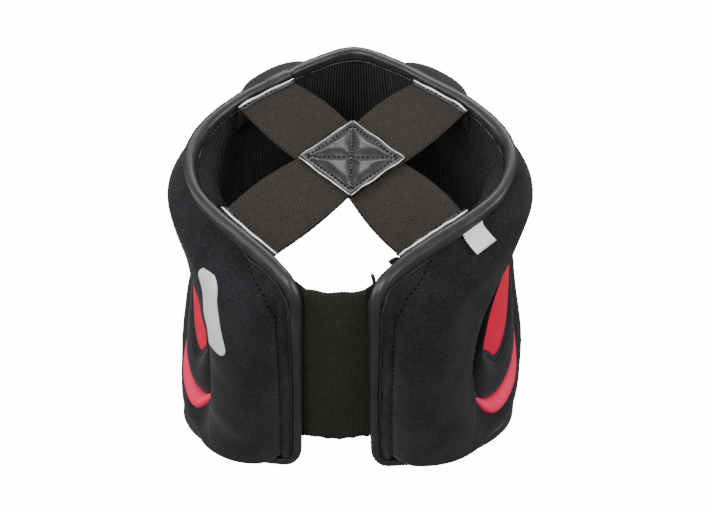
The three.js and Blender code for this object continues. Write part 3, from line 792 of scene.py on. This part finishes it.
FRONT = 0.24
REAR = 0.785
v = np.linspace(-0.5, 0.5, 25)
straps = []
for name, first, second, lift in (
    ("cross_strap_lower", (-1, FRONT, FRONT_FLARE), (1, REAR, REAR_FLARE), 0.0),
    ("cross_strap_upper", (1, FRONT, FRONT_FLARE), (-1, REAR, REAR_FLARE), STRAP_THICKNESS + GAP),
):
    rows = strap_centre(first, second, lift, 0.1, v)
    ob, normal, run = sheet_from(rows, STRAP_THICKNESS, name.replace("cross_strap", "strap"))
    dress(ob, ELASTIC, [name])
    straps.append((rows, normal))

# Quilted patch over the crossing
n = 61
u = np.linspace(0, 1, n)
pu, pv = np.meshgrid(u, u, indexing="ij")
a = (pu - 0.5) * PATCH_SIDE
b = (pv - 0.5) * PATCH_SIDE
diagonal = np.minimum(np.abs(a - b), np.abs(a + b)) * math.sqrt(0.5)
rim = np.minimum(PATCH_SIDE / 2 - np.abs(a), PATCH_SIDE / 2 - np.abs(b))
puff = smooth(diagonal / 5.5) ** 0.8 * smooth((rim - 2.6) / 5)
sewn = np.exp(-((diagonal / 0.8) ** 2)) * smooth((rim - 2) / 2) + np.exp(-(((rim - 2.9) / 0.8) ** 2))
top = CROSS[2] + STRAP_THICKNESS + GAP + STRAP_THICKNESS / 2 + GAP
x = (a - b) * math.sqrt(0.5)
y = (a + b) * math.sqrt(0.5) + CROSS[1]
z_up = top + 1.6 + 1.7 * puff - 0.55 * sewn + (0.2 * waves(a, b, 31, 14) + 0.06 * waves(a, b, 32, 5)) * smooth(rim / 4)
z_up = z_up - 0.5 * smooth(1 - rim / 0.9) + 0.35 * waves(a, b, 33, 13) * smooth(1 - rim / 4)
z_low = top + 0 * a
patch = slab("patch", np.stack([x, y, z_up], -1), np.stack([x, y, z_low], -1), np.stack([a, b], -1))
dress(patch, VINYL, ["centre_patch"])

# Stitches of the patch along its border and its diagonals
u_path = np.linspace(-1, 1, 120)


def patch_point(pa, pb, lift):
    d = np.minimum(np.abs(pa - pb), np.abs(pa + pb)) * math.sqrt(0.5)
    e = np.minimum(PATCH_SIDE / 2 - np.abs(pa), PATCH_SIDE / 2 - np.abs(pb))
    high = 1.7 * smooth(d / 5.5) ** 0.8 * smooth((e - 2.6) / 5) - 0.5
    z = top + 1.6 + high + lift + 0.2 * waves(pa, pb, 31, 14) * smooth(e / 4)
    return np.stack([(pa - pb) * math.sqrt(0.5), (pa + pb) * math.sqrt(0.5) + CROSS[1], z], -1)


reach = PATCH_SIDE / 2 - 2.9
lines = [(reach * u_path, reach * u_path), (reach * u_path, -reach * u_path)]
lines += [(reach * u_path, 0 * u_path + sign * reach) for sign in (-1, 1)]
lines += [(0 * u_path + sign * reach, reach * u_path) for sign in (-1, 1)]
up_normal = np.tile([0.0, 0.0, 1.0], (len(u_path), 1))
for number, (pa, pb) in enumerate(lines):
    ob = stitches("patch_stitches_%d" % number, patch_point(pa, pb, 0.12), up_normal, 2.5, 1.75, 0.3)
    dress(ob, THREAD)
# Light grey cords round the patch border: painted highlights on its rounded vinyl hem.
outline = PATCH_SIDE / 2 - 0.15
for number, (pa, pb) in enumerate(
    [(outline * u_path, 0 * u_path + outline), (outline * u_path, 0 * u_path - outline),
     (0 * u_path + outline, outline * u_path), (0 * u_path - outline, outline * u_path)]
):
    edge_path = patch_point(pa, pb, -0.15)
    edge_path[:, 2] = top + 1.05 + 0.35 * waves(pa, pb, 33, 13)
    dress(cord("patch_fold_painted_highlight_%d" % number, edge_path, 0.34, 6, number, 0.25), FOLD_HIGHLIGHT_PAINT)

# Painted highlights on the vinyl folds, with the vinyl hems and seams, where the straps fold down inside the rim
v_long = np.linspace(-0.53, 0.53, 60)
for number, end in enumerate(
    [(-1, FRONT, FRONT_FLARE), (1, FRONT, FRONT_FLARE), (-1, REAR, REAR_FLARE), (1, REAR, REAR_FLARE)]
):
    line = crease_line(*end, -1.6, v_long)
    sv = end[0] * (end[1] + STRAP_WIDTH * end[2] / HALF_LENGTH * v_long)
    out = outward(sv, np.full_like(sv, 0.98))
    wave = 0.3 * waves(v_long * STRAP_WIDTH, 0 * v_long, 40 + number, 12)[:, None]
    lifted = line - out * (0.9 + wave) + np.array([0, 0, 1.1])
    # Light grey cord: painted highlight along the vinyl fold at the strap's end.
    dress(cord("strap_fold_painted_highlight_%d" % number, lifted, 0.62, 6, number, 0.12), FOLD_HIGHLIGHT_PAINT)
    under = line - out * 2.4 + np.array([0, 0, 0.35]) + np.array([0, 0, 0.4]) * wave
    dress(cord("strap_hem_%d" % number, under, 1.15, 8, number + 9, 0.12), VINYL)
    seam = line - out * 2.3 + np.array([0, 0, 1.35])
    dress(stitches("strap_stitches_%d" % number, seam, np.tile([0.0, 0.0, 1.0], (60, 1)), 2.8, 2.0, 0.3), THREAD)

# Elastic band across the gap at the back
zed = np.linspace(BAND_FLOOR, BAND_FLOOR + BAND_HEIGHT, 60)


def band_row(side, back):
    sv = np.full_like(zed, side * (1 - back / HALF_LENGTH))
    return wall(sv, zed / height_at(sv), np.full_like(zed, -(3 * GAP + BINDING + 1.0)))


left_edge, right_edge = band_row(-1, 0), band_row(1, 0)
rows = [band_row(-1, d) for d in np.linspace(16, 2, 6)]
for k in np.linspace(0, 1, 60):
    row = mix(left_edge, right_edge, k) + np.array([0, -2.0 * math.sin(math.pi * k), 0])
    share = (zed - BAND_FLOOR) / BAND_HEIGHT
    scallop = 0.9 * abs(math.sin(k * 17)) * (0.5 + k) + 0.5 * math.sin(k * 9)
    row[:, 2] += (1 - share) ** 5 * scallop + share**6 * 0.5 * math.sin(k * 13)
    rows.append(row)
rows += [band_row(1, d) for d in np.linspace(2, 16, 6)]
ob, normal, run = sheet_from(np.array(rows), 2.0, "band")
dress(ob, BAND_ELASTIC, ["rear_band"])

# Size label and plain reflective bar
u = np.linspace(-0.5, 0.5, 15)[:, None]
v = np.linspace(0, 1, 12)[None, :]
ls = 0.695 + (u * 14.0 - 5.0 * v) / HALF_LENGTH
lt = 1 - (LEG - 1 + v * 7.4) / height_at(ls)
lift = 2 * GAP + 4.0 * v * v + 0 * u
body = SHELL_IN + shell_thickness(ls, lt, False) + lift
lengths = np.stack(np.broadcast_arrays(u * 14, v * 9), -1)
label = slab("label", wall(ls, lt, body + 0.6), wall(ls, lt, body), lengths)
dress(label, LABEL, ["size_label"])

u = np.linspace(-0.5, 0.5, 13)[:, None]
v = np.linspace(0, 1, 41)[None, :]
end = np.abs(2 * v - 1)
round_end = np.sqrt(1 - 0.75 * np.clip((end - 0.7) / 0.3, 0, 1) ** 2)
ls = -0.738 + (u * 24.0 * round_end + (v - 0.5) * 12.0) / HALF_LENGTH
lt = (105.0 + (v - 0.5) * 38.0) / height_at(ls)
body = SHELL_IN + shell_thickness(ls, lt, False)
lengths = np.stack(np.broadcast_arrays(u * 24, v * 38), -1)
bar = slab("bar", wall(ls, lt, body + 0.35), wall(ls, lt, body + 0.05), lengths)
dress(bar, BAR, ["reflective_bar"])


# Seams
def on_shell(ss, tt, lift=0.0):
    return wall(ss, tt, SHELL_IN + shell_thickness(ss, tt) + lift)


def flap_seam(side):
    """Seam of one flap: out from under the binding, along the rim, then down beside the rear edge."""
    places = []
    corner = 12.0
    last = 1 - (14.0 + corner) / HALF_LENGTH
    for x in np.linspace(0.755, last, 50):
        places.append((x, 1 - float(seam_inset(x)) / float(height_at(np.array(x)))))
    for a in np.linspace(0, math.pi / 2, 14)[1:]:
        x = 1 - (14.0 + corner * (1 - math.sin(a))) / HALF_LENGTH
        h = float(height_at(np.array(x)))
        places.append((x, 1 - (float(seam_inset(x)) + corner * (1 - math.cos(a))) / h))
    x, t_start = places[-1]
    for k in np.linspace(0, 1, 80)[1:]:
        places.append((x, mix(t_start, 0.045, k)))
    places = np.array(places)
    return side * places[:, 0], places[:, 1]


def flap_edge(side, inset):
    """Line along the rear edge of one flap, just inside the binding."""
    ring = CORNER - 2
    places = []
    for x in np.linspace(0.8, 1 - (inset + ring) / HALF_LENGTH, 40):
        places.append((x, 1 - inset / float(height_at(np.array(x)))))
    for a in np.linspace(0, math.pi / 2, 12)[1:]:
        x = 1 - (inset + ring * (1 - math.sin(a))) / HALF_LENGTH
        places.append((x, 1 - (inset + ring * (1 - math.cos(a))) / float(height_at(np.array(x)))))
    x, t_start = places[-1]
    for k in np.linspace(0, 1, 80)[1:]:
        places.append((x, mix(t_start, 0.1, k)))
    places = np.array(places)
    return side * places[:, 0], places[:, 1]


for side, name in ((-1, "left"), (1, "right")):
    ps, pt = flap_seam(side)
    path = on_shell(ps, pt, 0.1)
    ob = stitches("hem_stitches_" + name, path, outward(ps, pt), 3.3, 2.1, 0.42)
    dress(ob, THREAD)
    ps, pt = flap_edge(side, LEG + 1.1)
    path = on_shell(ps, pt, 0.25) + 0.3 * waves(pt * 150, ps * 150, 61 + side, 11)[:, None] * outward(ps, pt)
    dress(cord("raw_edge_" + name, path, 0.42, 6, 5, 0.2), RAW_EDGE)
    angle = np.linspace(math.pi * 0.6, 2 * math.pi * 0.93, 200)
    window = window_share(angle)
    reach = ear_radius(angle) * window + 3.2
    share = (reach - ear_radius(angle) * window) / (ear_radius(angle) * (1 - window))
    es, et = ear_place(side, angle, reach)
    puff = np.sin(math.pi * mix(0.1, 0.9, share)) ** 0.55
    path = wall(es, et, EAR_IN + EAR_FRAME_RISE * puff - 0.7)
    ob = stitches("ear_stitches_" + name, path, outward(es, et), 3.0, 2.2, 0.3)
    dress(ob, THREAD)

# Inner leg of the binding: a grey line painted as the thin highlight along its edge, and the stitches along the rim
rim_s = np.linspace(-0.93, 0.93, 420)
rim_h = height_at(rim_s)
wave = 0.25 * waves(rim_s * HALF_LENGTH, 0 * rim_s, 71, 15)
edge_line = wall(rim_s, 1 - (LEG + 0.2 + wave) / rim_h, -GAP - 0.45)
dress(cord("binding_edge_painted_highlight", edge_line, 0.26, 6, 3, 0.3), BINDING_HIGHLIGHT_PAINT)
seam_line = wall(rim_s, 1 - (LEG - 1.3) / rim_h, -GAP - BINDING - 0.1)
dress(stitches("binding_stitches", seam_line, -outward(rim_s, 0 * rim_s + 0.97), 2.6, 1.8, 0.28), THREAD)

# Loose ends at the top of the right flap: a turned-up binding end and a folded scrap
k = np.linspace(0, 1, 16)
root_point = wall(0.97, 0.985, -2.0)
turned = root_point + np.stack([-1.2 * k, 0.8 * np.sin(k * 3), 6.5 * k - 1], -1)
dress(cord("loose_binding_end", turned, 1.1, 8, 7, 0.1), VINYL)
root_point = wall(0.9, 0.975, -4.5)
folded = root_point + np.stack([5.0 * k - 1.5, 3.0 * k, 1.5 * np.sin(k * 3) - 1], -1)
dress(cord("loose_scrap", folded, 1.4, 8, 8, 0.1), ELASTIC)

# Stage, light and camera
bpy.ops.mesh.primitive_plane_add(size=40, location=(0, 0, -0.0002))
floor = bpy.context.object
floor.name = "floor"
floor_look = bpy.data.materials.new("floor_white")
floor_look.use_nodes = True
shader = next(k for k in floor_look.node_tree.nodes if k.type == "BSDF_PRINCIPLED")
shader.inputs["Base Color"].default_value = (0.92, 0.92, 0.92, 1)
shader.inputs["Roughness"].default_value = 0.9
shader.inputs["Emission Color"].default_value = (1, 1, 1, 1)
shader.inputs["Emission Strength"].default_value = 14.0
floor.data.materials.append(floor_look)
floor.visible_diffuse = False
floor.visible_glossy = False

world = bpy.data.worlds.new("studio")
bpy.context.scene.world = world
world.use_nodes = True
background = next(k for k in world.node_tree.nodes if k.type == "BACKGROUND")
background.inputs["Color"].default_value = (1, 1, 1, 1)
background.inputs["Strength"].default_value = 0.26


def area(name, place, size, power, aim=(0, 0, 0.08)):
    data = bpy.data.lights.new(name, "AREA")
    data.energy = power
    data.shape = "RECTANGLE"
    data.size, data.size_y = size
    ob = bpy.data.objects.new(name, data)
    ob.location = place
    ob.rotation_euler = (Vector(aim) - Vector(place)).to_track_quat("-Z", "Y").to_euler()
    bpy.context.scene.collection.objects.link(ob)


area("key_light", (-0.35, -0.75, 1.25), (0.8, 0.8), 13)
area("side_light", (1.1, -0.3, 0.75), (0.5, 0.9), 9)
area("left_light", (-1.1, -0.2, 0.6), (0.5, 0.9), 8)
area("back_light", (0.1, 1.0, 1.0), (1.2, 0.5), 14)

TARGET = Vector((0.0011, 0.0102, 0.0715))
AZIMUTH, ELEVATION, DISTANCE = math.radians(1), math.radians(48), 0.95
back = Vector((math.sin(AZIMUTH) * math.cos(ELEVATION), -math.cos(AZIMUTH) * math.cos(ELEVATION), math.sin(ELEVATION)))
camera_data = bpy.data.cameras.new("camera")
camera_data.sensor_width = 36
camera_data.lens = 1710 / 708 * 36
camera = bpy.data.objects.new("camera", camera_data)
camera.location = TARGET + back * DISTANCE
camera.rotation_euler = (-back).to_track_quat("-Z", "Y").to_euler()
bpy.context.scene.collection.objects.link(camera)
bpy.context.scene.camera = camera
